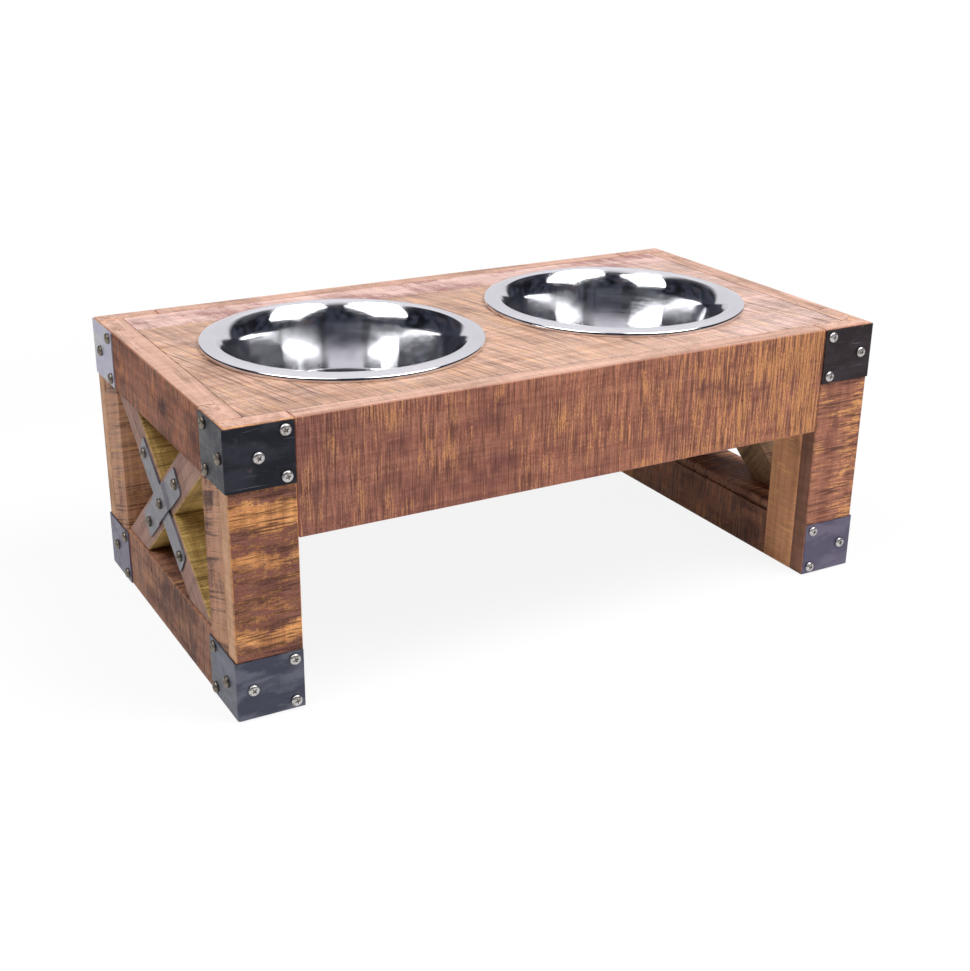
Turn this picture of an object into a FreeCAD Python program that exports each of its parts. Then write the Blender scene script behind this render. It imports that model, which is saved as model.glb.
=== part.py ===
import FreeCAD, Part
import math
import os

from FreeCAD import Placement, Rotation, Vector

# A raised pet feeder: a hardwood stand with X-braced ends, iron corner plates and two lift-out bowls.
# Millimetres. X runs along the length, Y to the rear, Z up, with the origin on the floor at the centre.

# Overall sizes of the wooden stand
stand_length = 540.0
stand_height = 211.0

# Front and rear boards
face_board = 15.0
leg_width = 48.0
apron_height = 84.5

# End frames
stile_depth = 34.0
cheek = 12.0
rail_lip = 6.5
top_rail_height = 47.0
bottom_rail_height = 48.5
rail_groove_drop = 7.0
rail_groove_width = 4.0
rail_groove_depth = 2.0
arm_width = 30.0
arm_thickness = 24.0
arm_recess = 1.5

# Top boards and the cleats under them
panel_thickness = 15.0
seam_margin = 2.0
cleat_width = 20.0
cleat_height = 20.0

# Loose tenons in the apron and bottom rail joints
tenon_length = 30.0
tenon_thickness = 6.0
tenon_width = 24.0
apron_tenon_rise = 10.0

# Every board has its edges eased by this much
edge_ease = 0.8

# Iron plates: folded corner plates and flat straps on the braces
plate = 1.2
plate_inset = 1.0
plate_height = 43.5
front_leaf_gap = 0.5
side_leaf = 50.0
strap_length = 106.0
strap_width = 21.0
strap_thickness = 1.4
strap_corner = 2.0
strap_ramp = 6.0
strap_ramp_gap = 2.0

# Pan-head screws
head_width = 8.0
head_height = 2.3
head_bevel = 1.2
head_sides = 12
shank_width = 3.4
shank_sides = 6
shank_clearance = 0.15
screw_tip_cover = 1.5
strap_screw_cover = 9.6
strap_screw_inset = 8.0

# Screw places on a corner plate, from the folded edge and from the middle of its height
outer_screw_front = 41.0
outer_screw_side = 42.0
outer_screw_rise = 16.0
fold_screw_front = 10.5
fold_screw_side = 18.0

# The front left top plate was folded off its middle, so its side leaf and screws differ
shifted_side_leaf = 44.0
shifted_outer_screw_side = 35.0
shifted_fold_screw_front = 22.0
shifted_fold_screw_side = 8.5

# Cleat screws, as shares of the cleat's half length
cleat_screw_places = (-0.8, -0.27, 0.27, 0.8)

# Bowls: their rims fill the top up to these margins, and the stand is as deep as they need
rim_gap = 30.0
rim_end_margin = 41.0
rim_side_margin = 39.5
rim_height = 5.8
rim_edge_height = 3.4
flange_width = 10.5
bowl_depth = 63.8
sheet = 1.0
hem_width = 2.0
shoulder_radius = 6.0
flare_flat = 0.6
flare_radius = 30.0
base_fillet = 16.0
hole_clearance = 0.8

# How far the flare under the rim and the wall below it lean from upright, in degrees
flare_lean = 48.0
wall_lean = 14.0

# Places worked out from the sizes above
rim_radius = (stand_length - rim_gap - 2 * rim_end_margin) / 4
bowl_x = rim_radius + rim_gap / 2
stand_depth = 2 * (rim_radius + rim_side_margin)
half_length = stand_length / 2
half_depth = stand_depth / 2
leg_inner_x = half_length - leg_width
board_inner_y = half_depth - face_board
stile_inner_y = board_inner_y - stile_depth
panel_end_x = half_length - cheek - rail_lip
panel_bottom = stand_height - panel_thickness
top_rail_bottom = stand_height - top_rail_height
apron_bottom = stand_height - apron_height

X_AXIS = Vector(1, 0, 0)
Y_AXIS = Vector(0, 1, 0)
Z_AXIS = Vector(0, 0, 1)
ORIGIN = Vector(0, 0, 0)

os.makedirs("parts", exist_ok=True)


def save(name, shape):
    shape.exportStep("parts/" + name + ".step")


def block(x, y, z):
    """A plain box between pairs of coordinates."""
    size = [abs(pair[1] - pair[0]) for pair in (x, y, z)]
    return Part.makeBox(*size, Vector(min(x), min(y), min(z)))


def eased(shape):
    return shape.makeChamfer(edge_ease, shape.Edges)


def prism(points, direction):
    """A polygon pushed along a direction."""
    return Part.Face(Part.makePolygon(points + points[:1])).extrude(direction)


def mirrored(shape, flip_x, flip_y):
    if flip_x:
        shape = shape.mirror(ORIGIN, X_AXIS)
    if flip_y:
        shape = shape.mirror(ORIGIN, Y_AXIS)
    return shape


# Screws

def flat_sided(width, sides, height):
    """A regular prism on the origin, measured across its flats; a negative height points down."""
    radius = width / 2 / math.cos(math.pi / sides)
    turns = [2 * math.pi * i / sides for i in range(sides)]
    points = [Vector(radius * math.cos(turn), radius * math.sin(turn), 0) for turn in turns]
    return prism(points, Vector(0, 0, height))


def screw(reach):
    """A screw seated at the origin, its bevelled head towards +Z; flat sides keep the many screws light."""
    head = flat_sided(head_width, head_sides, head_height)
    rim = [edge for edge in head.Edges if all(abs(v.Z - head_height) < 1e-6 for v in edge.Vertexes)]
    head = head.makeChamfer(head_bevel, rim)
    return head.fuse(flat_sided(shank_width, shank_sides, -reach)).removeSplitter()


def screw_hole(reach):
    """The clearance hole of such a screw."""
    return flat_sided(shank_width + 2 * shank_clearance, shank_sides, -reach - shank_clearance)


def seated(shape, seat, outward):
    """A screw or hole put on its seat with its head along the outward direction."""
    shape = shape.copy()
    shape.Placement = Placement(seat, Rotation(Z_AXIS, outward)).multiply(shape.Placement)
    return shape


# Corner plates, worked out at the front left corner and mirrored to the others

def plate_screw_seats(bottom, fold_front, outer_side, fold_side):
    """Seats on the outer faces of one plate, as (point, outward direction)."""
    middle = bottom + plate_height / 2
    seats = []
    front_y = -half_depth - plate
    side_x = -half_length - plate
    for rise in (-outer_screw_rise, outer_screw_rise):
        seats.append((Vector(-half_length + outer_screw_front, front_y, middle + rise), -Y_AXIS))
        seats.append((Vector(side_x, -half_depth + outer_side, middle + rise), -X_AXIS))
    seats.append((Vector(-half_length + fold_front, front_y, middle), -Y_AXIS))
    seats.append((Vector(side_x, -half_depth + fold_side, middle), -X_AXIS))
    return seats


def corner_plate(bottom, leaf):
    """A plate folded round the vertical edge, its bend following the eased edge of the leg."""
    outer_x = -half_length - plate
    outer_y = -half_depth - plate
    front_end = -leg_inner_x - front_leaf_gap
    side_end = -half_depth + leaf
    outline = [
        Vector(outer_x, side_end, bottom),
        Vector(outer_x, outer_y, bottom),
        Vector(front_end, outer_y, bottom),
        Vector(front_end, -half_depth, bottom),
        Vector(-half_length, -half_depth, bottom),
        Vector(-half_length, side_end, bottom),
    ]
    folded = prism(outline, Vector(0, 0, plate_height))

    def upright(x, y):
        return [
            edge for edge in folded.Edges
            if all(abs(v.X - x) + abs(v.Y - y) < 1e-6 for v in edge.Vertexes)
        ]

    folded = folded.makeFillet(edge_ease + plate, upright(outer_x, outer_y))
    return folded.makeFillet(edge_ease, upright(-half_length, -half_depth))


plate_screw_reach = plate + cheek - screw_tip_cover
plate_bottoms = {"top": stand_height - plate_inset - plate_height, "bottom": plate_inset}
plate_holes = {}

for level, bottom in plate_bottoms.items():
    for front_rear, flip_y in (("front", False), ("rear", True)):
        for side, flip_x in (("left", False), ("right", True)):
            corner = front_rear + "_" + side
            leaf = side_leaf
            screw_places = fold_screw_front, outer_screw_side, fold_screw_side
            if corner == "front_left" and level == "top":
                leaf = shifted_side_leaf
                screw_places = shifted_fold_screw_front, shifted_outer_screw_side, shifted_fold_screw_side
            seats = plate_screw_seats(bottom, *screw_places)
            holes = [seated(screw_hole(plate_screw_reach), *seat) for seat in seats]
            screws = [seated(screw(plate_screw_reach), *seat) for seat in seats]
            corner_iron = corner_plate(bottom, leaf).cut(holes)
            name = corner + "_" + level + "_plate"
            save(name, mirrored(corner_iron, flip_x, flip_y))
            save(name + "_screws", mirrored(Part.makeCompound(screws), flip_x, flip_y))
            plate_holes.setdefault(corner, []).extend(mirrored(hole, flip_x, flip_y) for hole in holes)


# Loose tenons, one in each apron end and one in each bottom rail end

def apron_tenon(side, front_rear):
    joint_x = side * leg_inner_x
    middle_y = front_rear * (half_depth - face_board / 2)
    bottom_z = apron_bottom + apron_tenon_rise
    return block(
        (joint_x - tenon_length / 2, joint_x + tenon_length / 2),
        (middle_y - tenon_thickness / 2, middle_y + tenon_thickness / 2),
        (bottom_z, bottom_z + tenon_width),
    )


def rail_tenon(side, front_rear):
    middle_x = side * (half_length - leg_width / 2)
    joint_y = front_rear * stile_inner_y
    middle_z = bottom_rail_height / 2
    return block(
        (middle_x - tenon_thickness / 2, middle_x + tenon_thickness / 2),
        (joint_y - tenon_length / 2, joint_y + tenon_length / 2),
        (middle_z - tenon_width / 2, middle_z + tenon_width / 2),
    )


corners = [(side, front_rear) for side in (-1, 1) for front_rear in (-1, 1)]
apron_tenons = [apron_tenon(*corner) for corner in corners]
rail_tenons = [rail_tenon(*corner) for corner in corners]
save("apron_tenons", Part.makeCompound(apron_tenons))
save("bottom_rail_tenons", Part.makeCompound(rail_tenons))


# Leg boards, aprons and stiles

for front_rear, sign_y in (("front", -1), ("rear", 1)):
    board_y = (sign_y * half_depth, sign_y * board_inner_y)
    apron = eased(block((-leg_inner_x, leg_inner_x), board_y, (apron_bottom, stand_height)))
    save(front_rear + "_apron", apron.cut(apron_tenons))
    for side, sign_x in (("left", -1), ("right", 1)):
        corner = front_rear + "_" + side
        leg_x = (sign_x * half_length, sign_x * leg_inner_x)
        leg = eased(block(leg_x, board_y, (0, stand_height)))
        save(corner + "_leg", leg.cut(plate_holes[corner] + apron_tenons))

        stile_y = (sign_y * board_inner_y, sign_y * stile_inner_y)
        stile = eased(block(leg_x, stile_y, (0, stand_height)))
        lap_x = (sign_x * (half_length - cheek), sign_x * leg_inner_x)
        lap = block(lap_x, stile_y, (top_rail_bottom, stand_height))
        save(corner + "_stile", stile.cut([lap] + plate_holes[corner] + rail_tenons))


# Rails: the top rail laps behind the stile cheeks and is rebated for the panel

for side, sign_x in (("left", -1), ("right", 1)):
    outer_x = sign_x * half_length
    inner_x = sign_x * leg_inner_x
    cheek_x = sign_x * (half_length - cheek)
    between_stiles = (-stile_inner_y, stile_inner_y)
    between_boards = (-board_inner_y, board_inner_y)
    rail_z = (top_rail_bottom, stand_height)
    top_rail = eased(block((outer_x, inner_x), between_boards, rail_z))
    rebate = block((sign_x * panel_end_x, inner_x), between_boards, (panel_bottom, stand_height))
    laps = [
        block((outer_x, cheek_x), (sign_y * stile_inner_y, sign_y * board_inner_y), rail_z)
        for sign_y in (-1, 1)
    ]
    save(side + "_top_rail", top_rail.cut([rebate] + laps))

    bottom_rail = eased(block((outer_x, inner_x), between_stiles, (0, bottom_rail_height)))
    groove_top = bottom_rail_height - rail_groove_drop + rail_groove_width / 2
    groove = block(
        (inner_x, sign_x * (leg_inner_x + rail_groove_depth)),
        between_stiles,
        (groove_top - rail_groove_width, groove_top),
    )
    save(side + "_bottom_rail", bottom_rail.cut([groove] + rail_tenons))


# Braces: one whole arm and one arm in two halves that butt against it

opening_width = 2 * stile_inner_y
opening_bottom = bottom_rail_height
opening_height = top_rail_bottom - bottom_rail_height
cross_z = opening_bottom + opening_height / 2


def arm_slope():
    """The angle at which the arm's outboard edges meet opposite corners of the opening."""
    angle = math.atan2(opening_height, opening_width)
    for _ in range(60):
        run = opening_width - arm_width / math.sin(angle)
        angle = math.atan2(opening_height, run)
    return angle


slope = arm_slope()
arm_end = arm_width / math.sin(slope)
arm_face_x = -half_length + arm_recess


def arm(rises_to_front):
    """A brace arm on the left end, its ends cut level to sit on the two rails."""
    low, high = (1, -1) if rises_to_front else (-1, 1)
    bottom = opening_bottom
    top = opening_bottom + opening_height
    points = [
        Vector(arm_face_x, low * stile_inner_y, bottom),
        Vector(arm_face_x, low * (stile_inner_y - arm_end), bottom),
        Vector(arm_face_x, high * stile_inner_y, top),
        Vector(arm_face_x, high * (stile_inner_y - arm_end), top),
    ]
    return prism(points, Vector(arm_thickness, 0, 0))


# Straps over the crossing, each along its own arm

def strap_frame(rises_to_front):
    """The placement with X along the arm, Z outward and the origin on the wood at the crossing."""
    along = Vector(0, -math.cos(slope) if rises_to_front else math.cos(slope), math.sin(slope))
    outward = -X_AXIS
    across = outward.cross(along)
    return Placement(Vector(arm_face_x, 0, cross_z), Rotation(along, across, outward, "XZY"))


def flat_strap():
    half = strap_length / 2
    return block((-half, half), (-strap_width / 2, strap_width / 2), (0, strap_thickness))


def joggled_strap():
    """A strap that steps up over the one below it and back down to the wood."""
    crossing = 2 * slope
    covered = strap_width / 2 / math.sin(crossing) + strap_width / 2 / abs(math.tan(crossing))
    raised = covered + strap_ramp_gap
    foot = raised + strap_ramp
    half = strap_length / 2
    rising = [(-half, 0), (-foot, 0), (-raised, strap_thickness)]
    under = rising + [(-along, out) for along, out in reversed(rising)]
    over = [(along, out + strap_thickness) for along, out in reversed(under)]
    points = [Vector(along, -strap_width / 2, out) for along, out in under + over]
    return prism(points, Vector(0, strap_width, 0))


def clipped_ends(strap):
    """The strap with its four corners cut off."""
    half = strap_length / 2
    ends = [edge for edge in strap.Edges if abs(abs(edge.CenterOfMass.x) - half) < 1e-6]
    corners = [edge for edge in ends if abs(abs(edge.CenterOfMass.y) - strap_width / 2) < 1e-6]
    return strap.makeChamfer(strap_corner, corners)


strap_screw_x = strap_length / 2 - strap_screw_inset
strap_screw_reach = strap_thickness + arm_thickness - strap_screw_cover
long_frame = strap_frame(True)
cross_frame = strap_frame(False)
strap_seats = [Vector(0, 0, 2 * strap_thickness)]
strap_seats += [Vector(s, 0, strap_thickness) for s in (-strap_screw_x, strap_screw_x)]


def in_frame(shape, frame):
    shape = shape.copy()
    shape.Placement = frame.multiply(shape.Placement)
    return shape


def strap_screws(make):
    """One screw through the crossing and one near each strap end."""
    made = [seated(make(strap_screw_reach), seat, Z_AXIS) for seat in strap_seats]
    along_long_arm = [in_frame(shape, long_frame) for shape in made]
    along_cross_arm = [in_frame(shape, cross_frame) for shape in made[1:]]
    return along_long_arm + along_cross_arm


strap_holes = strap_screws(screw_hole)
long_arm = arm(True)
cross_arm = arm(False)
cross_halves = cross_arm.cut(long_arm).Solids
lower_half, upper_half = sorted(cross_halves, key=lambda half: half.CenterOfMass.z)
brace_pieces = {
    "brace_long_arm": eased(long_arm),
    "brace_lower_arm": eased(lower_half),
    "brace_upper_arm": eased(upper_half),
    "under_strap": in_frame(clipped_ends(flat_strap()), cross_frame),
    "over_strap": in_frame(clipped_ends(joggled_strap()), long_frame),
}
for side, flip_x in (("left", False), ("right", True)):
    for name, solid in brace_pieces.items():
        save(side + "_" + name, mirrored(solid.cut(strap_holes), flip_x, False))
    save(side + "_strap_screws", mirrored(Part.makeCompound(strap_screws(screw)), flip_x, False))


# Bowls: a spun sheet drawn as a line of corners, each with its bend radius

def offset_left(points, distance):
    """The corners of a line moved to its left by a distance."""
    moved = []
    for i, point in enumerate(points):
        normals = []
        for a, b in ((i - 1, i), (i, i + 1)):
            if a >= 0 and b < len(points):
                run = (points[b] - points[a]).normalize()
                normals.append(Vector(-run.z, 0, run.x))
        bisector = sum(normals, Vector())
        moved.append(point + bisector * (distance / bisector.dot(normals[0])))
    return moved


def bent_line(points, radii):
    """Edges along the corners, rounded where a corner has a radius."""
    edges = []
    start = points[0]
    for before, corner, after, radius in zip(points, points[1:], points[2:], radii):
        back = (before - corner).normalize()
        ahead = (after - corner).normalize()
        half_angle = back.getAngle(ahead) / 2
        reach = radius / math.tan(half_angle)
        middle = (back + ahead).normalize() * (radius / math.sin(half_angle) - radius)
        edges.append(Part.makeLine(start, corner + back * reach))
        edges.append(Part.Arc(corner + back * reach, corner + middle, corner + ahead * reach).toShape())
        start = corner + ahead * reach
    edges.append(Part.makeLine(start, points[-1]))
    return edges


def bowl_corners():
    """The corners along the inside of the sheet, from the rim edge to the middle of the base."""
    flange_slope = math.atan2(rim_height - rim_edge_height, flange_width)
    flare_angle = math.radians(flare_lean)
    wall_angle = math.radians(wall_lean)
    shoulder_reach = shoulder_radius * math.tan((math.pi / 2 - flare_angle + flange_slope) / 2)
    flare_reach = flare_radius * math.tan((flare_angle - wall_angle) / 2)
    flare_length = shoulder_reach + flare_flat + flare_reach
    crest = Vector(rim_radius - flange_width, 0, rim_height)
    flare = crest - Vector(math.sin(flare_angle), 0, math.cos(flare_angle)) * flare_length
    base_z = rim_height - bowl_depth
    base = Vector(flare.x - (flare.z - base_z) * math.tan(wall_angle), 0, base_z)
    return [Vector(rim_radius, 0, rim_edge_height), crest, flare, base, Vector(0, 0, base_z)]


# The bowl about its own axis, its hemmed rim standing on the panel at Z = 0
inside = bowl_corners()
outside = offset_left(inside, sheet)
flange_run = outside[1] - outside[0]
hem_x = rim_radius - hem_width
outside[0] += flange_run * ((hem_x - outside[0].x) / flange_run.x)
hem_outer = Vector(rim_radius, 0, 0)
hem_inner = Vector(hem_x, 0, 0)
inside_line = bent_line(inside, [shoulder_radius, flare_radius, base_fillet])
outside_line = bent_line(outside, [shoulder_radius - sheet, flare_radius - sheet, base_fillet + sheet])
end_lines = [
    Part.makeLine(inside[0], hem_outer),
    Part.makeLine(hem_outer, hem_inner),
    Part.makeLine(hem_inner, outside[0]),
    Part.makeLine(inside[-1], outside[-1]),
]
section = Part.Face(Part.Wire(Part.__sortEdges__(inside_line + outside_line + end_lines)))
spun_bowl = section.revolve(ORIGIN, Z_AXIS, 360)
bowl_seats = {"left": Vector(-bowl_x, 0, stand_height), "right": Vector(bowl_x, 0, stand_height)}
for side, seat in bowl_seats.items():
    save(side + "_bowl", spun_bowl.translated(seat))

# The cut-outs clear the bowl where its outside passes the top face of the panel
panel_face = Part.makeLine(ORIGIN, hem_inner)
neck = Part.Wire(outside_line).distToShape(panel_face)[1][0][0]
panel_hole_radius = neck.x + hole_clearance
plank_front_y = panel_hole_radius + seam_margin


# Top boards, with the bowl cut-outs, and the cleats screwed up into them

cleat_bottom = panel_bottom - cleat_height
cleat_middle_y = board_inner_y - cleat_width / 2
cleat_screw_reach = cleat_height + panel_thickness - screw_tip_cover
cut_outs = [
    Part.makeCylinder(panel_hole_radius, panel_thickness, Vector(seat.x, seat.y, panel_bottom))
    for seat in bowl_seats.values()
]
cleat_holes = []
for front_rear, sign_y in (("front", -1), ("rear", 1)):
    seat_y = sign_y * cleat_middle_y
    seats = [Vector(share * leg_inner_x, seat_y, cleat_bottom) for share in cleat_screw_places]
    holes = [seated(screw_hole(cleat_screw_reach), seat, -Z_AXIS) for seat in seats]
    screws = [seated(screw(cleat_screw_reach), seat, -Z_AXIS) for seat in seats]
    cleat_y = (sign_y * board_inner_y, sign_y * (board_inner_y - cleat_width))
    cleat = block((-leg_inner_x, leg_inner_x), cleat_y, (cleat_bottom, panel_bottom))
    save(front_rear + "_cleat", cleat.cut(holes))
    save(front_rear + "_cleat_screws", Part.makeCompound(screws))
    cleat_holes += holes

panel_z = (panel_bottom, stand_height)
panel = eased(block((-panel_end_x, panel_end_x), (-board_inner_y, plank_front_y), panel_z))
plank = eased(block((-panel_end_x, panel_end_x), (plank_front_y, board_inner_y), panel_z))
save("top_panel", panel.cut(cut_outs + cleat_holes))
save("top_rear_plank", plank.cut(cut_outs + cleat_holes))
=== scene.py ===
import math

import bpy
from mathutils import Matrix, Vector


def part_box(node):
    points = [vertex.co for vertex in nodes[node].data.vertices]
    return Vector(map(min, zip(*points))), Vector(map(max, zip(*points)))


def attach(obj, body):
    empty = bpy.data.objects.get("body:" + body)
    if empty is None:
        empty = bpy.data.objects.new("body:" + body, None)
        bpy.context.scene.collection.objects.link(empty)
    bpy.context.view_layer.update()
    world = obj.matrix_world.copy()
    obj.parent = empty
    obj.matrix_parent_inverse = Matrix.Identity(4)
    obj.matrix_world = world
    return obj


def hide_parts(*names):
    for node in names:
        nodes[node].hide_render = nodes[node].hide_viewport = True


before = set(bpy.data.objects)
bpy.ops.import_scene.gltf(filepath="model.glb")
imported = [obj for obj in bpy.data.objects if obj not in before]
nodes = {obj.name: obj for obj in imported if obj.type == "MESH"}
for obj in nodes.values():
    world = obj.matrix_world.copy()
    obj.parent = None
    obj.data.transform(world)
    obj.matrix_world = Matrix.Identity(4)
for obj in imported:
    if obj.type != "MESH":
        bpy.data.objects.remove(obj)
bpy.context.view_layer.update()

scene = bpy.context.scene

MM = 0.001
X, Y, Z = Vector((1, 0, 0)), Vector((0, 1, 0)), Vector((0, 0, 1))
ENDS = ("left", "right")
FACES = ("front", "rear")


# Shader nodes, materials and meshes

class Graph:
    """Adds nodes to one node tree and gives back their outputs; surface and principled end the tree."""

    def __init__(self, tree):
        self.tree = tree
        tree.nodes.clear()

    def add(self, kind, inputs=None, output=0, **settings):
        node = self.tree.nodes.new(kind)
        for key, value in settings.items():
            setattr(node, key, value)
        for key, value in (inputs or {}).items():
            if isinstance(value, bpy.types.NodeSocket):
                self.tree.links.new(value, node.inputs[key])
            else:
                node.inputs[key].default_value = value
        return node.outputs[output]

    def math(self, operation, a, b=0.0):
        return self.add("ShaderNodeMath", {0: a, 1: b}, operation=operation)

    def vector(self, operation, a, b, output=0):
        return self.add("ShaderNodeVectorMath", {0: a, 1: b}, output, operation=operation)

    def dot(self, a, b):
        return self.vector("DOT_PRODUCT", a, b, "Value")

    def length(self, a):
        return self.vector("LENGTH", a, (0.0, 0.0, 0.0), "Value")

    def place(self):
        """The place on the object, in millimetres."""
        metres = self.add("ShaderNodeTexCoord", output="Object")
        return self.vector("MULTIPLY", metres, (1 / MM, 1 / MM, 1 / MM))

    def noise(self, vector, sizes, detail=2.0, roughness=0.5, distortion=0.0):
        """Noise whose features measure sizes along the three axes, in the unit of the vector."""
        stretched = self.vector("MULTIPLY", vector, [1 / size for size in sizes])
        inputs = {"Vector": stretched, "Scale": 1.0, "Detail": detail, "Roughness": roughness}
        return self.add("ShaderNodeTexNoise", inputs | {"Distortion": distortion})

    def step(self, value, low, high, start=0.0, end=1.0):
        """A smooth step from start to end while the value goes from low to high."""
        inputs = {"Value": value, 1: low, 2: high, 3: start, 4: end}
        return self.add("ShaderNodeMapRange", inputs, interpolation_type="SMOOTHSTEP")

    def mix(self, factor, a, b, blend="MIX"):
        inputs = {0: factor, 6: a, 7: b}
        return self.add("ShaderNodeMix", inputs, 2, data_type="RGBA", blend_type=blend)

    def sum(self, *terms):
        """The sum of (socket, weight) pairs, each socket measured from 0.5."""
        total = 0.5
        for socket, weight in terms:
            part = self.math("MULTIPLY", self.math("SUBTRACT", socket, 0.5), weight)
            total = self.math("ADD", part, total)
        return total

    def bump(self, height, strength, distance):
        return self.add("ShaderNodeBump", {"Strength": strength, "Distance": distance, "Height": height})

    def surface(self, shader, kind="ShaderNodeOutputMaterial"):
        node = self.tree.nodes.new(kind)
        self.tree.links.new(shader, node.inputs["Surface"])

    def principled(self, inputs):
        self.surface(self.add("ShaderNodeBsdfPrincipled", inputs))


def new_material(name):
    material = bpy.data.materials.new(name)
    material.use_nodes = True
    return material, Graph(material.node_tree)


def new_object(name, verts, faces, sharp=None):
    """A mesh in the scene, shaded smooth up to the sharp angle in degrees where there is one."""
    mesh = bpy.data.meshes.new(name)
    mesh.from_pydata(verts, [], faces)
    if sharp:
        mesh.shade_smooth()
        mesh.set_sharp_from_angle(angle=math.radians(sharp))
    obj = bpy.data.objects.new(name, mesh)
    scene.collection.objects.link(obj)
    return obj


def rgb(red, green, blue):
    return (red, green, blue, 1.0)


def shades(*colours):
    return [rgb(*colour) for colour in colours]


def paint(obj, material):
    obj.data.materials.clear()
    obj.data.materials.append(material)


def turns(count):
    """Equal angles round a full turn."""
    return [2 * math.pi * i / count for i in range(count)]


def toward(azimuth, elevation):
    """The direction at an azimuth from the front, positive to the right, and at an elevation."""
    level = math.cos(elevation)
    return Vector((math.sin(azimuth) * level, -math.cos(azimuth) * level, math.sin(elevation)))


# Rough-sawn wood: saw lines cross the grain, stain sits in them and gold shows where they are worn

WOOD_SHIFT = 371.0, 173.0, 97.0
BAND_EDGE = 3.0
BAND_RAGGED = 26.0
FADE_RAGGED = 60.0
DASH_LENGTH = 500.0
DEEPENED = rgb(0.62, 0.60, 0.66)


class Board:
    """The colour of one sawn board, laid on in layers; lengths are millimetres."""

    def __init__(self, g, grain, across, tones, seed, line, reach, slant):
        """Noises for a board with its grain along one direction and its saw lines along another.

        line and slant are the width and lean of the saw lines, and reach is a share of their usual length.
        """
        self.g = g
        self.dark, self.mid, self.light, self.gold = tones
        self.deep = g.mix(1.0, self.dark, DEEPENED, "MULTIPLY")
        self.sides = (grain, across, grain.cross(across))
        self.place = g.place()
        self.along, v, w = [g.dot(self.place, side) for side in self.sides]
        u = g.math("ADD", self.along, g.math("MULTIPLY", v, slant))
        spot = g.add("ShaderNodeCombineXYZ", {0: u, 1: v, 2: w})
        self.spot = g.vector("ADD", spot, [seed * shift for shift in WOOD_SHIFT])
        self.fine = g.noise(self.spot, (line, 38.0 * reach, 38.0), 1.0)
        self.lines = g.noise(self.spot, (line * 4, 80.0 * reach, 80.0), 2.0)
        self.streaks = g.noise(self.spot, (10.0, 60.0 * reach, 60.0), 2.0, 0.6)
        self.figure = g.noise(self.spot, (190.0, 6.0, 6.0), 3.0, 0.55, 0.6)
        self.cloud = g.noise(self.spot, (60.0, 26.0, 26.0), 4.0, 0.6, 0.3)
        self.specks = g.noise(self.spot, (1.0, 2.4, 2.4), 3.0, 0.7)

    def lay(self, factor, colour):
        """Cover what is there with a colour, as far as the factor says."""
        self.colour = self.g.mix(factor, self.colour, colour)

    def grow(self, pores):
        """Pale figure along the grain, and dark pores with a strength."""
        g = self.g
        pore = g.noise(self.spot, (50.0, 1.6, 1.6), 2.0, 0.6, 0.3)
        self.pored = g.sum((pore, 1.0), (self.specks, 0.4), (self.cloud, 0.3))
        self.colour = g.mix(g.step(self.figure, 0.35, 0.68), self.mid, self.light)
        self.lay(g.step(self.pored, 0.54, 0.70, 0.0, pores), self.dark)

    def stain(self, low, high):
        """Dark stain, which sets in between two noise levels."""
        g = self.g
        stained = g.sum((self.cloud, 0.7), (self.streaks, 0.45), (self.fine, 0.35), (self.specks, 0.55),
                        (self.lines, 0.25))
        self.lay(g.step(stained, low, high), self.dark)

    def flow(self, strength):
        """Pale rings of flowing grain."""
        g = self.g
        swirl = g.noise(self.spot, (170.0, 22.0, 22.0), 1.0, 0.5, 1.0)
        lobes = g.math("FRACT", g.math("MULTIPLY", swirl, 14.0))
        rings = g.sum((lobes, 0.6), (self.fine, 0.5), (self.specks, 0.5), (self.cloud, -0.6))
        self.lay(g.step(rings, 0.58, 0.82, 0.0, strength), self.light)

    def wear(self, low, high, strength, gild):
        """Worn gold between two noise levels; gild is a stretch along X where it grows, and how much."""
        g = self.g
        worn = g.sum((self.streaks, 0.7), (self.fine, 0.75), (self.cloud, -0.45), (self.specks, 0.55))
        if gild:
            start, end, growth = gild
            worn = g.math("ADD", worn, g.step(g.dot(self.place, X), start, end, 0.0, growth))
        self.lay(g.step(worn, low, high, 0.0, strength), self.gold)

    def darken(self, bands):
        """Dark stretches along the grain with ragged ends."""
        g = self.g
        ragged = g.math("MULTIPLY", g.math("SUBTRACT", self.cloud, 0.5), BAND_RAGGED)
        ragged = g.math("ADD", self.along, ragged)
        covered = 0.0
        for low, high in bands:
            begun = g.step(ragged, low - BAND_EDGE, low + BAND_EDGE)
            not_ended = g.step(ragged, high - BAND_EDGE, high + BAND_EDGE, 1.0, 0.0)
            covered = g.math("MAXIMUM", covered, g.math("MULTIPLY", begun, not_ended))
        banded = g.sum((covered, 0.24), (self.streaks, 0.60), (self.fine, 0.75), (self.specks, 0.80),
                       (self.lines, 0.40))
        self.lay(g.step(banded, 0.46, 0.64, 0.0, 0.92), self.dark)

    def comb(self, low, high, strength):
        """Dark saw lines between two noise levels."""
        g = self.g
        combed = g.sum((self.fine, -0.9), (self.lines, -0.5), (self.specks, 0.35), (self.cloud, 0.3))
        self.lay(g.step(combed, low, high, 0.0, strength), self.deep)

    def dash(self, spacing, width, strength):
        """Thin dark saw cuts, broken in places."""
        g = self.g
        cuts = g.noise(self.spot, (spacing, DASH_LENGTH, DASH_LENGTH), 0.0)
        cuts = g.math("ABSOLUTE", g.math("SUBTRACT", cuts, 0.5))
        patchy = g.step(g.sum((self.cloud, 1.0), (self.specks, 0.5)), 0.38, 0.60, 0.15, 1.0)
        self.lay(g.math("MULTIPLY", g.step(cuts, 0.3 * width, width, strength, 0.0), patchy), self.deep)

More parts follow.
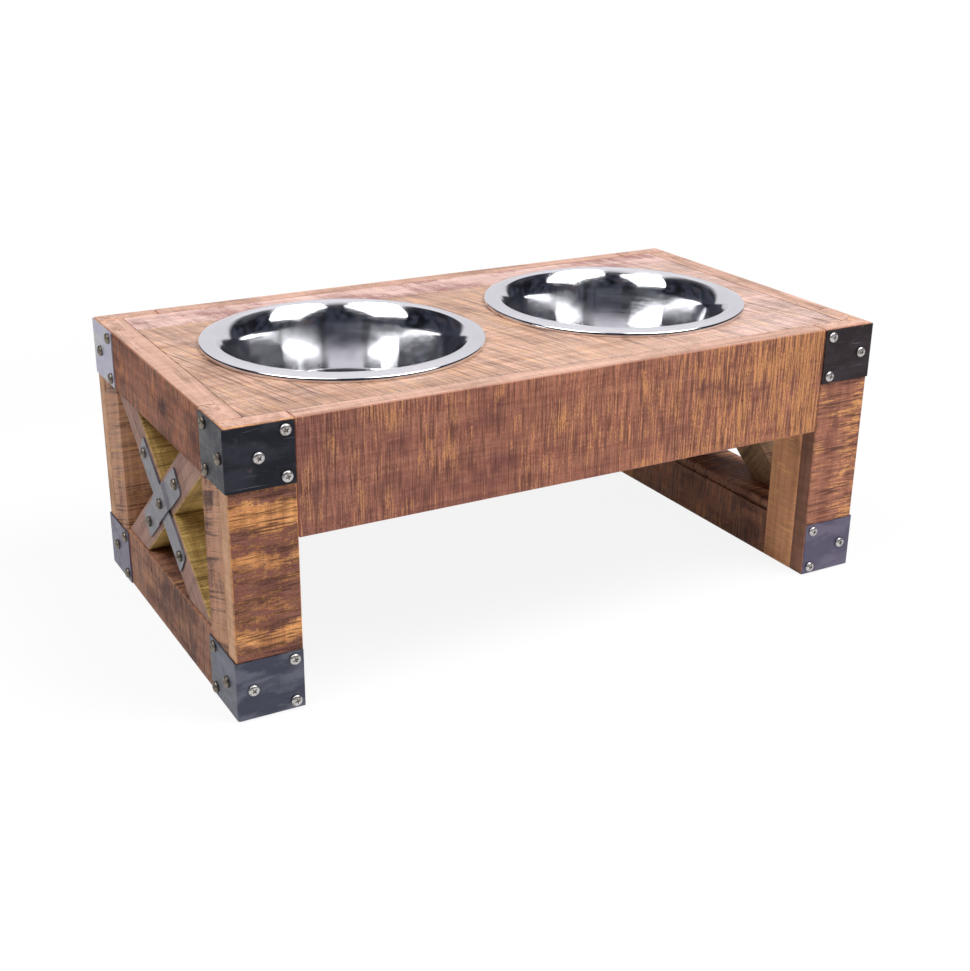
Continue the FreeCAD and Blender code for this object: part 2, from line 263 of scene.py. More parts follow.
    def fade(self, start, end, tint):
        """A tint that goes away along the grain from start to end; on the top panel it is painted sheen."""
        g = self.g
        ragged = g.math("ADD", self.along, g.math("MULTIPLY", self.cloud, FADE_RAGGED))
        tinted = g.mix(1.0, self.colour, tint, "MULTIPLY")
        self.lay(g.step(ragged, start, end, 1.0, 0.0), tinted)

    def saw(self, contrast):
        """Light and shade of the saw lines."""
        g = self.g
        cut = g.sum((self.fine, 0.75), (self.lines, 0.30), (self.specks, 0.70))
        cut = g.step(cut, 0.30, 0.72, 1.0 - contrast, 1.0 + 0.6 * contrast)
        self.colour = g.mix(1.0, self.colour, cut, "MULTIPLY")

    def plane(self, faces):
        """Faces picked by their facing direction, each with its shade and pale shade and some dirt on them:
        planed faces, and faces darkened as painted shade.
        """
        g = self.g
        normal = g.add("ShaderNodeNewGeometry", output="True Normal")
        bare = g.step(g.sum((self.figure, 0.8), (self.lines, 0.4), (self.specks, 0.5)), 0.3, 0.7)
        dirt = g.sum((self.cloud, 0.7), (self.pored, 0.7), (self.specks, 0.5))
        dirt = g.step(dirt, 0.46, 0.72, 1.08, 0.62)
        for facing, shade, pale in faces:
            planed = g.mix(1.0, g.mix(bare, shade, pale), dirt, "MULTIPLY")
            self.lay(g.step(g.dot(normal, facing), 0.55, 0.9), planed)

    def ease(self, colour):
        """Eased edges, with a colour of their own in places; dark on the top boards, as painted shade in
        their seams.
        """
        g = self.g
        normal = g.add("ShaderNodeNewGeometry", output="True Normal")
        square = 0.0
        for side in self.sides:
            square = g.math("MAXIMUM", square, g.math("ABSOLUTE", g.dot(normal, side)))
        patchy = g.step(self.lines, 0.35, 0.6, 0.1, 0.6)
        self.lay(g.math("MULTIPLY", g.step(square, 0.80, 0.95, 1.0, 0.0), patchy), colour)

    def relief(self):
        heights = self.g.sum((self.fine, 0.7), (self.lines, 0.6), (self.specks, 0.45))
        return self.g.bump(heights, 0.5, 0.7 * MM)

    def dullness(self, rough):
        patches = self.g.sum((self.fine, 0.6), (self.cloud, 0.5))
        return self.g.step(patches, 0.3, 0.7, rough - 0.1, rough + 0.12)


def sawn_wood(name, grain, across, tones, seed, line=1.2, reach=1.0, slant=0.0, contrast=0.35,
              stain=(0.50, 0.70), golden=(0.60, 0.74, 0.8), comb=(0.58, 0.70, 0.6), pores=0.3, flow=0.0,
              bands=(), gild=None, dashes=None, fade=None, planed=(), seam_shade=False,
              rough=0.60, sheen=0.18):
    """A board's material; what each look means is told by the layer that takes it.

    The seam flag darkens the eased edges as painted shade in the seams between boards; they are pale
    otherwise, and sheen is the specular level.
    """
    material, g = new_material(name)
    board = Board(g, grain, across, tones, seed, line, reach, slant)
    board.grow(pores)
    board.stain(*stain)
    if flow:
        board.flow(flow)
    board.wear(*golden, gild)
    if bands:
        board.darken(bands)
    board.comb(*comb)
    if dashes:
        board.dash(*dashes)
    if fade:
        board.fade(*fade)
    board.saw(contrast)
    if planed:
        board.plane(planed)
    # Dark eased edges are painted shade in the seams between boards
    board.ease(board.deep if seam_shade else board.light)
    g.principled({
        "Base Color": board.colour,
        "Roughness": board.dullness(rough),
        "Specular IOR Level": sheen,
        "Normal": board.relief(),
    })
    return material


# Tones of each wood: dark, mid, light and gold
LEG = shades((0.164, 0.062, 0.054), (0.606, 0.260, 0.095), (0.724, 0.337, 0.127), (0.816, 0.408, 0.148))
RIGHT_LEG = shades((0.172, 0.065, 0.053), (0.344, 0.135, 0.083), (0.411, 0.171, 0.108), (0.589, 0.280, 0.108))
APRON = shades((0.160, 0.059, 0.053), (0.324, 0.122, 0.081), (0.401, 0.164, 0.104), (0.544, 0.243, 0.099))
RAIL = shades((0.088, 0.029, 0.021), (0.260, 0.088, 0.045), (0.363, 0.138, 0.075), (0.421, 0.165, 0.062))
LOW_RAIL = shades((0.103, 0.042, 0.033), (0.308, 0.135, 0.080), (0.410, 0.199, 0.122), (0.464, 0.230, 0.100))
STILE = shades((0.115, 0.050, 0.036), (0.420, 0.198, 0.112), (0.540, 0.288, 0.180), (0.530, 0.285, 0.120))
TAN_STILE = shades((0.287, 0.122, 0.070), (0.615, 0.293, 0.146), (0.745, 0.373, 0.192), (0.810, 0.439, 0.201))
ARM = shades((0.150, 0.084, 0.028), (0.400, 0.250, 0.076), (0.540, 0.360, 0.115), (0.640, 0.440, 0.150))
BROWN_ARM = shades((0.120, 0.062, 0.036), (0.270, 0.155, 0.082), (0.350, 0.210, 0.115), (0.420, 0.260, 0.130))
PANEL = shades((0.252, 0.128, 0.081), (0.473, 0.272, 0.180), (0.587, 0.358, 0.264), (0.519, 0.304, 0.147))
PLANK = shades((0.273, 0.123, 0.110), (0.605, 0.374, 0.316), (0.746, 0.523, 0.460), (0.645, 0.421, 0.296))

# Faces picked by their facing direction, planed ones and one darkened as painted shade: facing direction,
# shade and pale shade
PALE_TOP = (Z, *shades((0.410, 0.245, 0.185), (0.585, 0.370, 0.290)))
PALE_LEFT = (-X, *shades((0.420, 0.225, 0.130), (0.600, 0.345, 0.205)))
PALE_RIGHT = (X, *shades((0.420, 0.225, 0.130), (0.600, 0.345, 0.205)))
# Painted shade: the left faces of the right legs, which face inward, are darkened as if in shadow
PAINTED_SHADE_LEFT = (-X, *shades((0.149, 0.070, 0.046), (0.263, 0.124, 0.078)))
ARM_LEFT = (-X, *shades((0.230, 0.129, 0.104), (0.356, 0.205, 0.159)))
ARM_RIGHT = (X, *shades((0.200, 0.112, 0.088), (0.310, 0.178, 0.135)))

# Tints that fade along the grain: a darker and cooler one, and a paler and greyer one that is painted sheen
# on the right end of the top panel
APRON_TINT = rgb(0.86, 0.88, 0.96)
PANEL_SHEEN = rgb(1.12, 1.24, 1.48)

# Dark stretches of the left leg boards, as heights in millimetres
LEG_BANDS = (-5.0, 4.0), (40.0, 53.0), (66.0, 113.0), (121.0, 139.0), (158.0, 176.0)

# The lean of the brace arms from level
ARM_SLOPE = math.radians(38.2)


def paint_wood(node, grain, across, tones, seed, **look):
    paint(nodes[node], sawn_wood(node + "_wood", grain, across, tones, seed, **look))


def paint_uprights_and_apron(face, i):
    paint_wood(face + "_left_leg", Z, X, LEG, 1.3 + i, line=1.3, reach=0.5, contrast=0.50,
               stain=(0.58, 0.78), golden=(0.56, 0.74, 0.9), comb=(0.54, 0.66, 0.7), bands=LEG_BANDS,
               gild=(-245.0, -215.0, 0.12), planed=(PALE_TOP, PALE_LEFT))
    # The right legs' inward faces are darkened as painted shade
    paint_wood(face + "_right_leg", Z, X, RIGHT_LEG, 3.3 + i, line=1.3, reach=0.45, contrast=0.40,
               golden=(0.60, 0.76, 0.9), gild=(240.0, 268.0, 0.12), planed=(PALE_TOP, PALE_RIGHT, PAINTED_SHADE_LEFT))
    paint_wood(face + "_apron", X, Z, APRON, 2.7 + i, line=0.9, reach=0.6, contrast=0.42,
               stain=(0.50, 0.76), golden=(0.57, 0.76, 0.85), comb=(0.56, 0.70, 0.35), flow=0.6,
               gild=(0.0, 250.0, 0.24), fade=(-200.0, 30.0, APRON_TINT), planed=(PALE_TOP,))
    paint_wood(face + "_left_stile", Z, Y, STILE, 5.1 + i, slant=0.35, contrast=0.22, stain=(0.50, 0.74),
               dashes=(9.0, 0.04, 0.85), planed=(PALE_TOP,))
    paint_wood(face + "_right_stile", Z, Y, TAN_STILE, 7.1 + i, reach=0.5, contrast=0.14,
               stain=(0.54, 0.84), comb=(0.62, 0.80, 0.25), planed=(PALE_TOP,))


def paint_rails_and_braces(end, i):
    paint_wood(end + "_top_rail", Y, Z, RAIL, 3.9 + i, line=1.3, reach=0.5, contrast=0.62,
               stain=(0.48, 0.68), planed=(PALE_TOP,))
    paint_wood(end + "_bottom_rail", Y, Z, LOW_RAIL, 7.2 + i, line=1.5, reach=0.6, contrast=0.50)
    outer, tones = (ARM_LEFT, ARM) if end == "left" else (ARM_RIGHT, BROWN_ARM)
    for j, (arm, lean) in enumerate((("long", -1), ("lower", 1), ("upper", 1))):
        along = Vector((0, lean * math.cos(ARM_SLOPE), math.sin(ARM_SLOPE)))
        paint_wood(f"{end}_brace_{arm}_arm", along, X.cross(along), tones, 9.4 + 3 * i + j, contrast=0.36,
                   planed=(outer,))


def paint_top():
    # The top boards' eased edges are darkened as painted shade in their seams
    oiled = dict(line=1.8, slant=0.25, seam_shade=True, rough=0.42, sheen=0.5)
    # The panel's fade is painted sheen: its right end is made paler and greyer
    paint_wood("top_panel", X, Y, PANEL, 4.4, reach=0.8, contrast=0.42, stain=(0.52, 0.80),
               golden=(0.56, 0.82, 0.8), comb=(0.60, 0.76, 0.45), pores=0.55, dashes=(9.0, 0.035, 0.75),
               fade=(250.0, 60.0, PANEL_SHEEN), **oiled)
    paint_wood("top_rear_plank", X, Y, PLANK, 6.6, contrast=0.20, stain=(0.46, 0.66),
               golden=(0.66, 0.86, 0.8), comb=(0.62, 0.78, 0.4), pores=0.5, **oiled)


for i, face in enumerate(FACES):
    paint_uprights_and_apron(face, i)
for i, end in enumerate(ENDS):
    paint_rails_and_braces(end, i)
paint_top()
inner_wood = sawn_wood("inner_wood", X, Y, PANEL, 8.8, line=2.0)
for node in ("front_cleat", "rear_cleat", "apron_tenons", "bottom_rail_tenons"):
    paint(nodes[node], inner_wood)


# Blued iron sheet with heat colours, rust spots and scratches

IRON_SHIFT = 83.0, 51.0, 29.0
RUST = rgb(0.16, 0.11, 0.10)
SCRATCHED = rgb(0.30, 0.29, 0.34)


def blued_iron(name, dark, pale, seed, rough=0.42):
    material, g = new_material(name)
    spot = g.vector("ADD", g.place(), [seed * shift for shift in IRON_SHIFT])
    clouds = g.noise(spot, (38.0, 38.0, 15.0), 3.0, 0.55, 0.5)
    spots = g.noise(spot, (7.0, 7.0, 7.0), 3.0, 0.6, 0.5)
    scratch = g.noise(spot, (26.0, 26.0, 0.8), 2.0, 0.6)
    colour = g.mix(g.step(g.sum((clouds, 1.0), (spots, 0.3)), 0.40, 0.66), dark, pale)
    colour = g.mix(g.step(spots, 0.64, 0.76, 0.0, 0.5), colour, RUST)
    colour = g.mix(g.step(scratch, 0.66, 0.76, 0.0, 0.3), colour, SCRATCHED)
    dull = g.step(g.sum((clouds, 0.7), (spots, 0.6)), 0.3, 0.7, rough - 0.09, rough + 0.12)
    bump = g.bump(g.sum((clouds, 1.0), (spots, 0.35), (scratch, 0.12)), 0.25, 1.2 * MM)
    g.principled({"Base Color": colour, "Metallic": 0.75, "Roughness": dull, "Normal": bump})
    return material


# Dark and pale tones of the iron
CHARCOAL = shades((0.013, 0.014, 0.021), (0.036, 0.037, 0.051))
BLUE_GREY = shades((0.057, 0.062, 0.089), (0.154, 0.160, 0.205))
PLUM = shades((0.027, 0.018, 0.022), (0.050, 0.038, 0.045))
VIOLET = shades((0.104, 0.092, 0.143), (0.178, 0.157, 0.224))
# A lavender tone, lightened as a painted reflection of the backdrop on the rear left top plate
LAVENDER_SHEEN = shades((0.388, 0.373, 0.490), (0.527, 0.527, 0.544))
STRAP = shades((0.117, 0.112, 0.133), (0.187, 0.181, 0.209))

plate_looks = {
    "front_left_top": CHARCOAL, "front_left_bottom": BLUE_GREY,
    "front_right_top": PLUM, "front_right_bottom": VIOLET,
    # The rear left top plate's pale lavender is partly its own tone and partly a painted reflection
    "rear_left_top": LAVENDER_SHEEN, "rear_left_bottom": VIOLET,
    "rear_right_top": CHARCOAL, "rear_right_bottom": BLUE_GREY,
}
for i, (corner, look) in enumerate(plate_looks.items()):
    paint(nodes[corner + "_plate"], blued_iron(corner + "_plate_iron", *look, 1.0 + i))
for i, end in enumerate(ENDS):
    for j, strap in enumerate(("under", "over")):
        iron = blued_iron(f"{end}_{strap}_strap_iron", *STRAP, 11.0 + 2 * i + j, rough=0.36)
        paint(nodes[f"{end}_{strap}_strap"], iron)


# Zinc pan-head screws with a cross recess

SCREW_SIDES = 24
SCREW_SHARP = 32
SCREW_TURN = 1.7
DOME_STEPS = 4
DOME_TURN = math.radians(18)
ZINC = shades((0.58, 0.56, 0.56), (0.34, 0.28, 0.24))
BRONZE = shades((0.25, 0.215, 0.175), (0.10, 0.085, 0.075))

# Shares of the head's radius
HEAD_EDGE = 0.95
SHANK_RADIUS = 0.42
FOOT_RADIUS = 0.93
CROWN_RADIUS = 0.42
RECESS_ARM = 0.46
RECESS_HALF = 0.12
RECESS_TAPER = 0.6

# Shares of the head's height
FOOT_HEIGHT = 0.12
DOME_START = 0.34
RECESS_FLOOR = 0.68


def screw_metal(name, clean, tarnished, rough):
    material, g = new_material(name)
    tarnish = g.noise(g.place(), (2.6, 2.6, 2.6), 3.0, 0.6)
    colour = g.mix(g.step(tarnish, 0.50, 0.68), clean, tarnished)
    dull = g.step(tarnish, 0.3, 0.7, rough, rough + 0.2)
    bump = g.bump(tarnish, 0.3, 0.2 * MM)
    g.principled({"Base Color": colour, "Metallic": 1.0, "Roughness": dull, "Normal": bump})
    return material


def islands(mesh):
    """The vertex places of every loose part of a mesh, found through shared places."""
    parent = {}

    def root(key):
        while parent[key] != key:
            parent[key] = parent[parent[key]]
            key = parent[key]
        return key

    keys = [tuple(round(c, 6) for c in vertex.co) for vertex in mesh.vertices]
    for key in keys:
        parent.setdefault(key, key)
    for face in mesh.polygons:
        first = root(keys[face.vertices[0]])
        for index in face.vertices[1:]:
            parent[root(keys[index])] = first
    groups = {}
    for key in parent:
        groups.setdefault(root(key), []).append(Vector(key))
    return list(groups.values())


def screw_frame(points):
    """The seat, outward axis, head width, head height and reach of one screw of the frame."""
    low = Vector([min(p[k] for p in points) for k in range(3)])
    high = Vector([max(p[k] for p in points) for k in range(3)])
    size = high - low
    k = max(range(3), key=lambda i: size[i])
    others = [i for i in range(3) if i != k]
    middle = (low + high) / 2

    def spread(p):
        return max(abs(p[i] - middle[i]) for i in others)

    wide = max(spread(p) for p in points)
    head = [p[k] for p in points if spread(p) > HEAD_EDGE * wide]
    outward = 1 if sum(head) / len(head) > middle[k] else -1
    seat = middle.copy()
    seat[k] = min(head) if outward > 0 else max(head)
    top = high[k] if outward > 0 else low[k]
    head_height = abs(top - seat[k])
    axis = Vector([outward if i == k else 0 for i in range(3)])
    return seat, axis, 2 * wide, head_height, size[k] - head_height


def screw_rings(radius, height, reach):
    """The radius and height of each ring of a screw, from its tip to the top of its head."""
    shank = SHANK_RADIUS * radius
    rings = [(shank, -reach), (shank, 0.0), (FOOT_RADIUS * radius, 0.0)]
    rings += [(radius, FOOT_HEIGHT * height), (radius, DOME_START * height)]
    for step in range(1, DOME_STEPS + 1):
        narrower = CROWN_RADIUS + (1 - CROWN_RADIUS) * math.cos(step * DOME_TURN)
        higher = DOME_START + (1 - DOME_START) * math.sin(step * DOME_TURN)
        rings.append((radius * narrower, height * higher))
    return rings


def screw_mesh(width, height, reach):
    """A screw with a domed head and a plain shank, seated at the origin, and its recess faces."""
    sides = SCREW_SIDES
    radius = width / 2
    rings = screw_rings(radius, height, reach)
    verts, faces = [], []
    for r, z in rings:
        verts += [(r * math.cos(t), r * math.sin(t), z) for t in turns(sides)]
    for ring in range(len(rings) - 1):
        for i in range(sides):
            a, b = ring * sides + i, ring * sides + (i + 1) % sides
            faces.append((a, b, b + sides, a + sides))
    faces.append(tuple(reversed(range(sides))))

    # The cross: its outline on the head and the smaller one on the recess floor
    arm, half = RECESS_ARM * radius, RECESS_HALF * radius
    corners = [(arm, -half), (arm, half), (half, half)]
    cross = [Matrix.Rotation(math.pi / 2 * k, 2) @ Vector(c) for k in range(4) for c in corners]
    count = len(cross)
    last, lip = (len(rings) - 1) * sides, len(verts)
    verts += [(c.x, c.y, height) for c in cross]
    deep = len(verts)
    verts += [(c.x * RECESS_TAPER, c.y * RECESS_TAPER, RECESS_FLOOR * height) for c in cross]

    # The ring of faces round the cross; a hair of turn keeps two corners from being equally near
    nearest = []
    for i in range(sides):
        turn = 2 * math.pi * (i + 0.01) / sides
        way = Vector((math.cos(turn), math.sin(turn)))
        nearest.append(max(range(count), key=lambda k: cross[k].normalized().dot(way)))
    for i in range(sides):
        j = (i + 1) % sides
        k, stop = nearest[i], nearest[j]
        faces.append((last + i, last + j, lip + k))
        while k != stop:
            faces.append((last + j, lip + (k + 1) % count, lip + k))
            k = (k + 1) % count
    first_recess = len(faces)
    for k in range(count):
        n = (k + 1) % count
        faces.append((lip + k, lip + n, deep + n, deep + k))
    faces.append(tuple(range(deep, deep + count)))
    return verts, faces, range(first_recess, len(faces))


def build_screws(node):
    """The screws of one node, each driven its own way; those on the ends, and every recess, are tarnished."""
    verts, faces, tarnished = [], [], []
    for i, points in enumerate(islands(nodes[node].data)):
        seat, axis, width, height, reach = screw_frame(points)
        own_verts, own_faces, recess = screw_mesh(width, height, reach)
        driven = Matrix.Rotation(SCREW_TURN * i + len(node), 3, "Z")
        turn = axis.to_track_quat("Z", "Y").to_matrix() @ driven
        base = len(verts)
        on_end = abs(axis.x) > 0.5
        tarnished += [on_end or index in recess for index in range(len(own_faces))]
        verts += [seat + turn @ Vector(v) for v in own_verts]
        faces += [tuple(base + index for index in face) for face in own_faces]
    obj = new_object(node + "_detail", verts, faces, SCREW_SHARP)
    paint(obj, screw_zinc)
    obj.data.materials.append(screw_bronze)
    obj.data.polygons.foreach_set("material_index", [int(dark) for dark in tarnished])
    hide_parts(node)
    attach(obj, "stand")


screw_zinc = screw_metal("screw_zinc", *ZINC, rough=0.28)
screw_bronze = screw_metal("screw_bronze", *BRONZE, rough=0.38)
for node in sorted(nodes):
    if node.endswith("_screws"):
        build_screws(node)


# Spun steel bowls, with their profile in millimetres from the panel's top face

FLANGE_WIDTH = 10.5
RIM_HEIGHT = 5.8
RIM_EDGE_HEIGHT = 3.4
BOWL_DEPTH = 63.8
SHEET = 1.0
HEM_WIDTH = 2.0
SHOULDER_RADIUS = 6.0
FLARE_RADIUS = 30.0
BASE_FILLET = 16.0
FLARE_FLAT = 0.6
FLARE_LEAN = math.radians(48.0)
WALL_LEAN = math.radians(14.0)
ROLL = (-0.9, 3.55), (-0.3, 3.2), (0, 2.6), (0, 0.4), (-0.4, 0)
BOWL_SIDES = 192
BOWL_SHARP = 40
ARC_PIECES = 20
ARC_SUPPORT = 0.2
ON_AXIS = 1e-6

# The radii between which the brushed wall gives way to the smooth rim
SMOOTH_FROM, SMOOTH_TO = 94.0, 97.0

# Turning marks are measured round the axis at this radius
TURNING_RADIUS = 40.0
QUARTER_TURN = 0.25

GREY_STEEL = rgb(0.80, 0.80, 0.83)
PALE_STEEL = rgb(0.90, 0.90, 0.92)
RIM_DULLNESS = rgb(0.06, 0.06, 0.06)


def steel():
    """Steel polished on a lathe: fine turning marks draw reflections out along the wall."""
    material, g = new_material("bowl_steel")
    place = g.place()
    x, y, z = [g.add("ShaderNodeSeparateXYZ", {0: place}, k) for k in range(3)]
    around = g.math("MULTIPLY", g.math("ARCTAN2", y, x), TURNING_RADIUS)
    out = g.length(g.vector("MULTIPLY", place, (1.0, 1.0, 0.0)))
    spun = g.add("ShaderNodeCombineXYZ", {0: out, 1: around, 2: z})
    turning = g.noise(spun, (0.16, 60.0, 0.16), 2.0, 0.6)
    smears = g.noise(place, (26.0, 26.0, 14.0), 3.0, 0.6, 0.6)
    rim = g.step(out, SMOOTH_FROM, SMOOTH_TO)
    brushed = g.step(turning, 0.45, 0.66, 0.035, 0.085)
    dull = g.math("ADD", g.step(smears, 0.3, 0.7, 0.02, 0.06), g.mix(rim, brushed, RIM_DULLNESS))
    g.principled({
        "Base Color": g.mix(smears, GREY_STEEL, PALE_STEEL),
        "Metallic": 1.0,
        "Roughness": dull,
        "Normal": g.bump(g.step(turning, 0.56, 0.74), 0.02, 0.2 * MM),
        "Tangent": g.add("ShaderNodeTangent", direction_type="RADIAL", axis="Z"),
        "Anisotropic": g.step(out, SMOOTH_FROM, SMOOTH_TO, 1.0, 0.0),
        "Anisotropic Rotation": QUARTER_TURN,
    })
    return material


def rounded(corners, radii):
    """A line of corners with its inner corners rounded; points close to each arc keep the straights flat."""
    points = [corners[0]]
    for before, corner, after, radius in zip(corners, corners[1:], corners[2:], radii):
        back, ahead = (before - corner).normalized(), (after - corner).normalized()
        half = back.angle(ahead) / 2
        centre = corner + (back + ahead).normalized() * (radius / math.sin(half))
        start = corner + back * (radius / math.tan(half)) - centre
        stop = corner + ahead * (radius / math.tan(half)) - centre
        turn = start.angle_signed(stop)
        steps = range(ARC_PIECES + 1)
        arc = [centre + Matrix.Rotation(-turn * k / ARC_PIECES, 2) @ start for k in steps]
        points += [arc[0] + back * ARC_SUPPORT] + arc + [arc[-1] + ahead * ARC_SUPPORT]
    return points + [corners[-1]]


def shifted(corners, distance):
    """The corners of a line moved to its left by a distance."""
    moved = []
    for i, corner in enumerate(corners):
        runs = [(b - a).normalized() for a, b in zip(corners, corners[1:])][max(i - 1, 0):i + 1]
        normals = [Vector((-run.y, run.x)) for run in runs]
        middle = sum(normals, Vector((0, 0)))
        moved.append(corner + middle * (distance / middle.dot(normals[0])))
    return moved


def bowl_profile(rim_radius):
    """Points round the section of the sheet, from the middle of the inside to the middle of the outside."""
    slope = math.atan2(RIM_HEIGHT - RIM_EDGE_HEIGHT, FLANGE_WIDTH)
    flare_length = SHOULDER_RADIUS * math.tan((math.pi / 2 - FLARE_LEAN + slope) / 2) + FLARE_FLAT
    flare_length += FLARE_RADIUS * math.tan((FLARE_LEAN - WALL_LEAN) / 2)
    crest = Vector((rim_radius - FLANGE_WIDTH, RIM_HEIGHT))
    flare = crest - Vector((math.sin(FLARE_LEAN), math.cos(FLARE_LEAN))) * flare_length
    base_z = RIM_HEIGHT - BOWL_DEPTH
    base = Vector((flare.x - (flare.y - base_z) * math.tan(WALL_LEAN), base_z))
    inside = [Vector((rim_radius, RIM_EDGE_HEIGHT)), crest, flare, base, Vector((0, base_z))]
    outside = shifted(inside, SHEET)
    hem_x = rim_radius - HEM_WIDTH
    run = outside[1] - outside[0]
    outside[0] += run * ((hem_x - outside[0].x) / run.x)
    upper = rounded(inside, (SHOULDER_RADIUS, FLARE_RADIUS, BASE_FILLET))
    lower = rounded(outside, (SHOULDER_RADIUS - SHEET, FLARE_RADIUS - SHEET, BASE_FILLET + SHEET))
    roll = [Vector((rim_radius + x, z)) for x, z in ROLL]
    return list(reversed(upper[1:])) + roll + [Vector((hem_x, 0))] + lower


def build_bowl(name, material):
    low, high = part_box(name)
    seat_z = low[2] + (BOWL_DEPTH - RIM_HEIGHT + SHEET) * MM
    sides = BOWL_SIDES
    verts, faces, rows = [], [], []
    for point in bowl_profile((high[0] - low[0]) / 2 / MM):
        radius, z = point.x * MM, point.y * MM
        ring = turns(sides) if point.x > ON_AXIS else [0.0]
        rows.append(range(len(verts), len(verts) + len(ring)))
        verts += [(radius * math.cos(t), radius * math.sin(t), z) for t in ring]
    for a, b in zip(rows, rows[1:]):
        for i in range(sides):
            j = (i + 1) % sides
            quad = [a[i % len(a)], a[j % len(a)], b[j % len(b)], b[i % len(b)]]
            faces.append(tuple(dict.fromkeys(quad)))
    obj = new_object(name + "_spun", verts, faces, BOWL_SHARP)
    obj.location = ((low[0] + high[0]) / 2, (low[1] + high[1]) / 2, seat_z)
    paint(obj, material)
    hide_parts(name)
    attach(obj, name)


bowl_steel = steel()
for end in ENDS:
    build_bowl(end + "_bowl", bowl_steel)


# Floor, studio and camera, in metres and degrees

FLOOR_REACH = 6.0
FLOOR_DROP = 0.0003
FLOOR_PAPER = rgb(0.86, 0.86, 0.86)
NEAR_WHITE = 0.88
WHITE_FROM, WHITE_TO = 0.45, 0.95
SOFTBOX_WIDTH, SOFTBOX_HEIGHT = 1.0, 1.15
SOFTBOX_DISTANCE = 1.75
SOFTBOX_TARGET = Vector((0, 0, 0.15))
CAMERA_PLACE = Vector((-0.5498, -0.9677, 0.5199))
CAMERA_TURN = -29.696, 22.025, 0.728
CAMERA_LENS, CAMERA_SENSOR = 54.008, 36.0

# Level directions to the backdrop and across it, and its soft edges along them
AHEAD = (0.496, 0.868, 0.0)
ACROSS = (0.868, -0.496, 0.0)
BACKDROP_FRONT = -0.26, -0.16
BACKDROP_SIDES = 0.47, 0.56

# Colours of the studio
WHITE = rgb(1.0, 1.0, 1.0)
BLACK_ROOM = rgb(0.008, 0.008, 0.011)
BLUE_ROOM = rgb(0.042, 0.048, 0.070)
BROWN_ROOM = rgb(0.10, 0.062, 0.050)
LOW_BACKDROP = rgb(0.74, 0.73, 0.77)
HIGH_BACKDROP = rgb(0.88, 0.86, 0.90)
FILL_LIGHT = rgb(0.14, 0.14, 0.14)


def build_floor():
    """A floor white to the camera and to metal, a little less so near the stand, where its shadow shows."""
    reach = FLOOR_REACH
    corners = [(-reach, -reach, 0), (reach, -reach, 0), (reach, reach, 0), (-reach, reach, 0)]
    floor = new_object("floor", corners, [(0, 1, 2, 3)])
    floor.location.z = -FLOOR_DROP
    material, g = new_material("floor_white")
    paper = g.add("ShaderNodeBsdfDiffuse", {"Color": FLOOR_PAPER})
    white = g.add("ShaderNodeEmission", {"Color": WHITE, "Strength": 1.0})
    path = g.add("ShaderNodeLightPath").node
    seen = path.outputs["Is Camera Ray"]
    for ray in ("Is Glossy Ray", "Is Transmission Ray"):
        seen = g.math("MAXIMUM", seen, path.outputs[ray])
    away = g.length(g.add("ShaderNodeTexCoord", output="Object"))
    seen = g.math("MULTIPLY", seen, g.step(away, WHITE_FROM, WHITE_TO, NEAR_WHITE, 1.0))
    g.surface(g.add("ShaderNodeMixShader", {0: seen, 1: paper, 2: white}))
    paint(floor, material)


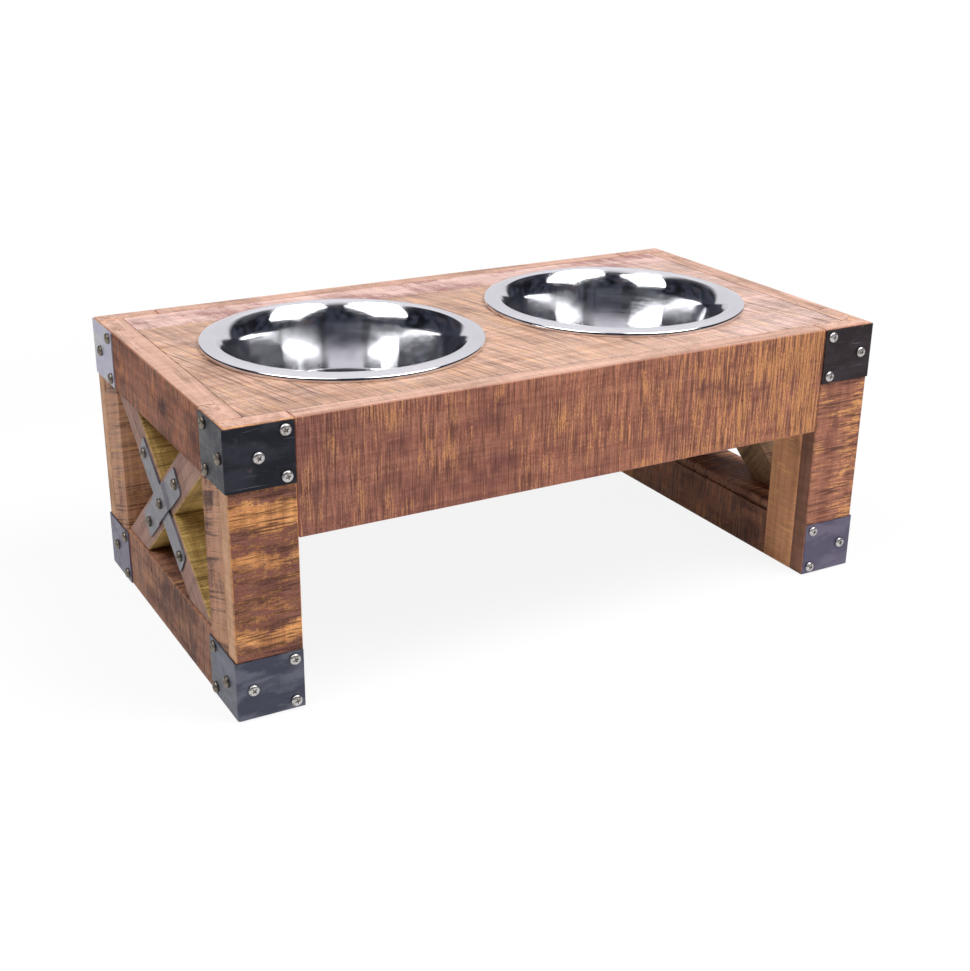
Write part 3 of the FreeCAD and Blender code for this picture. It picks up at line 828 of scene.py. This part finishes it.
def build_world():
    """White to the camera; to polished metal, a dark room with a pale backdrop over and behind the stand."""
    world = bpy.data.worlds.new("studio")
    scene.world = world
    world.use_nodes = True
    g = Graph(world.node_tree)
    path = g.add("ShaderNodeLightPath").node
    way = g.add("ShaderNodeTexCoord", output="Generated")
    height = g.add("ShaderNodeSeparateXYZ", {0: way}, 2)
    behind = g.step(g.dot(way, AHEAD), *BACKDROP_FRONT)
    between = g.step(g.math("ABSOLUTE", g.dot(way, ACROSS)), *BACKDROP_SIDES, 1.0, 0.0)
    gloom = g.noise(way, (0.16, 0.16, 0.5), 2.0, 0.6)
    room = g.mix(g.step(gloom, 0.38, 0.60), BLACK_ROOM, BLUE_ROOM)
    room = g.mix(g.step(gloom, 0.60, 0.68, 0.0, 0.7), room, BROWN_ROOM)
    paper = g.mix(g.step(height, 0.3, 0.8), LOW_BACKDROP, HIGH_BACKDROP)
    room = g.mix(g.math("MULTIPLY", behind, between), room, paper)
    soft = g.mix(path.outputs["Is Diffuse Ray"], room, FILL_LIGHT)
    colour = g.mix(path.outputs["Is Camera Ray"], soft, WHITE)
    g.surface(g.add("ShaderNodeBackground", {"Color": colour, "Strength": 1.0}), "ShaderNodeOutputWorld")


def build_softbox(name, azimuth, elevation, power):
    lamp = bpy.data.lights.new(name, "AREA")
    lamp.shape = "RECTANGLE"
    lamp.size, lamp.size_y = SOFTBOX_WIDTH, SOFTBOX_HEIGHT
    lamp.energy = power
    obj = bpy.data.objects.new(name, lamp)
    scene.collection.objects.link(obj)
    away = toward(math.radians(azimuth), math.radians(elevation))
    obj.location = SOFTBOX_TARGET + away * SOFTBOX_DISTANCE
    obj.rotation_euler = away.to_track_quat("Z", "Y").to_euler()


def build_camera():
    azimuth, elevation, roll = [math.radians(angle) for angle in CAMERA_TURN]
    back = toward(azimuth, elevation)
    right = Vector((math.cos(azimuth), math.sin(azimuth), 0))
    level = Matrix((right, back.cross(right), back)).transposed()
    turned = level @ Matrix.Rotation(roll, 3, "Z")
    lens = bpy.data.cameras.new("camera")
    lens.sensor_fit = "HORIZONTAL"
    lens.sensor_width = CAMERA_SENSOR
    lens.lens = CAMERA_LENS
    camera = bpy.data.objects.new("camera", lens)
    scene.collection.objects.link(camera)
    camera.matrix_world = Matrix.Translation(CAMERA_PLACE) @ turned.to_4x4()
    scene.camera = camera


build_floor()
build_world()
build_softbox("left_softbox", azimuth=-83.0, elevation=57.0, power=21.0)
build_softbox("right_softbox", azimuth=42.0, elevation=58.0, power=34.0)
build_camera()
scene.view_settings.view_transform = "Standard"
